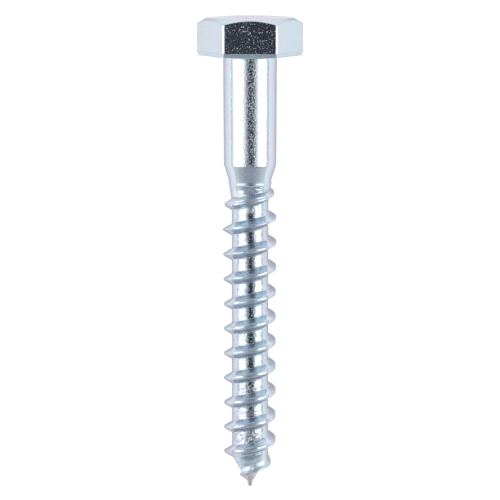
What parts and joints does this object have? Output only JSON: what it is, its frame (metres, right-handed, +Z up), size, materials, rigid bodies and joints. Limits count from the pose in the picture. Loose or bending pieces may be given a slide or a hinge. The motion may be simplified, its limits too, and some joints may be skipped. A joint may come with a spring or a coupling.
{
  "type": "lag screw",
  "caption": "Hex-head lag screw with a plain shank, a coarse wood thread and a gimlet point, for fastening into timber.",
  "frame": {"origin": "centre of the bounding box's base, on the ground that the screw lies on", "axes": "+Y along the screw from the point to the head, level with the ground; +Z up; +X across the corners of the head. The screw's own axis rises towards the head by 2.9 degrees"},
  "size_m": [0.0194, 0.0878, 0.0173],
  "materials": {
    "zinc_plate": "bright zinc plating"
  },
  "bodies": {
    "root": {"lag_screw": "zinc_plate"}
  },
  "joints": []
}
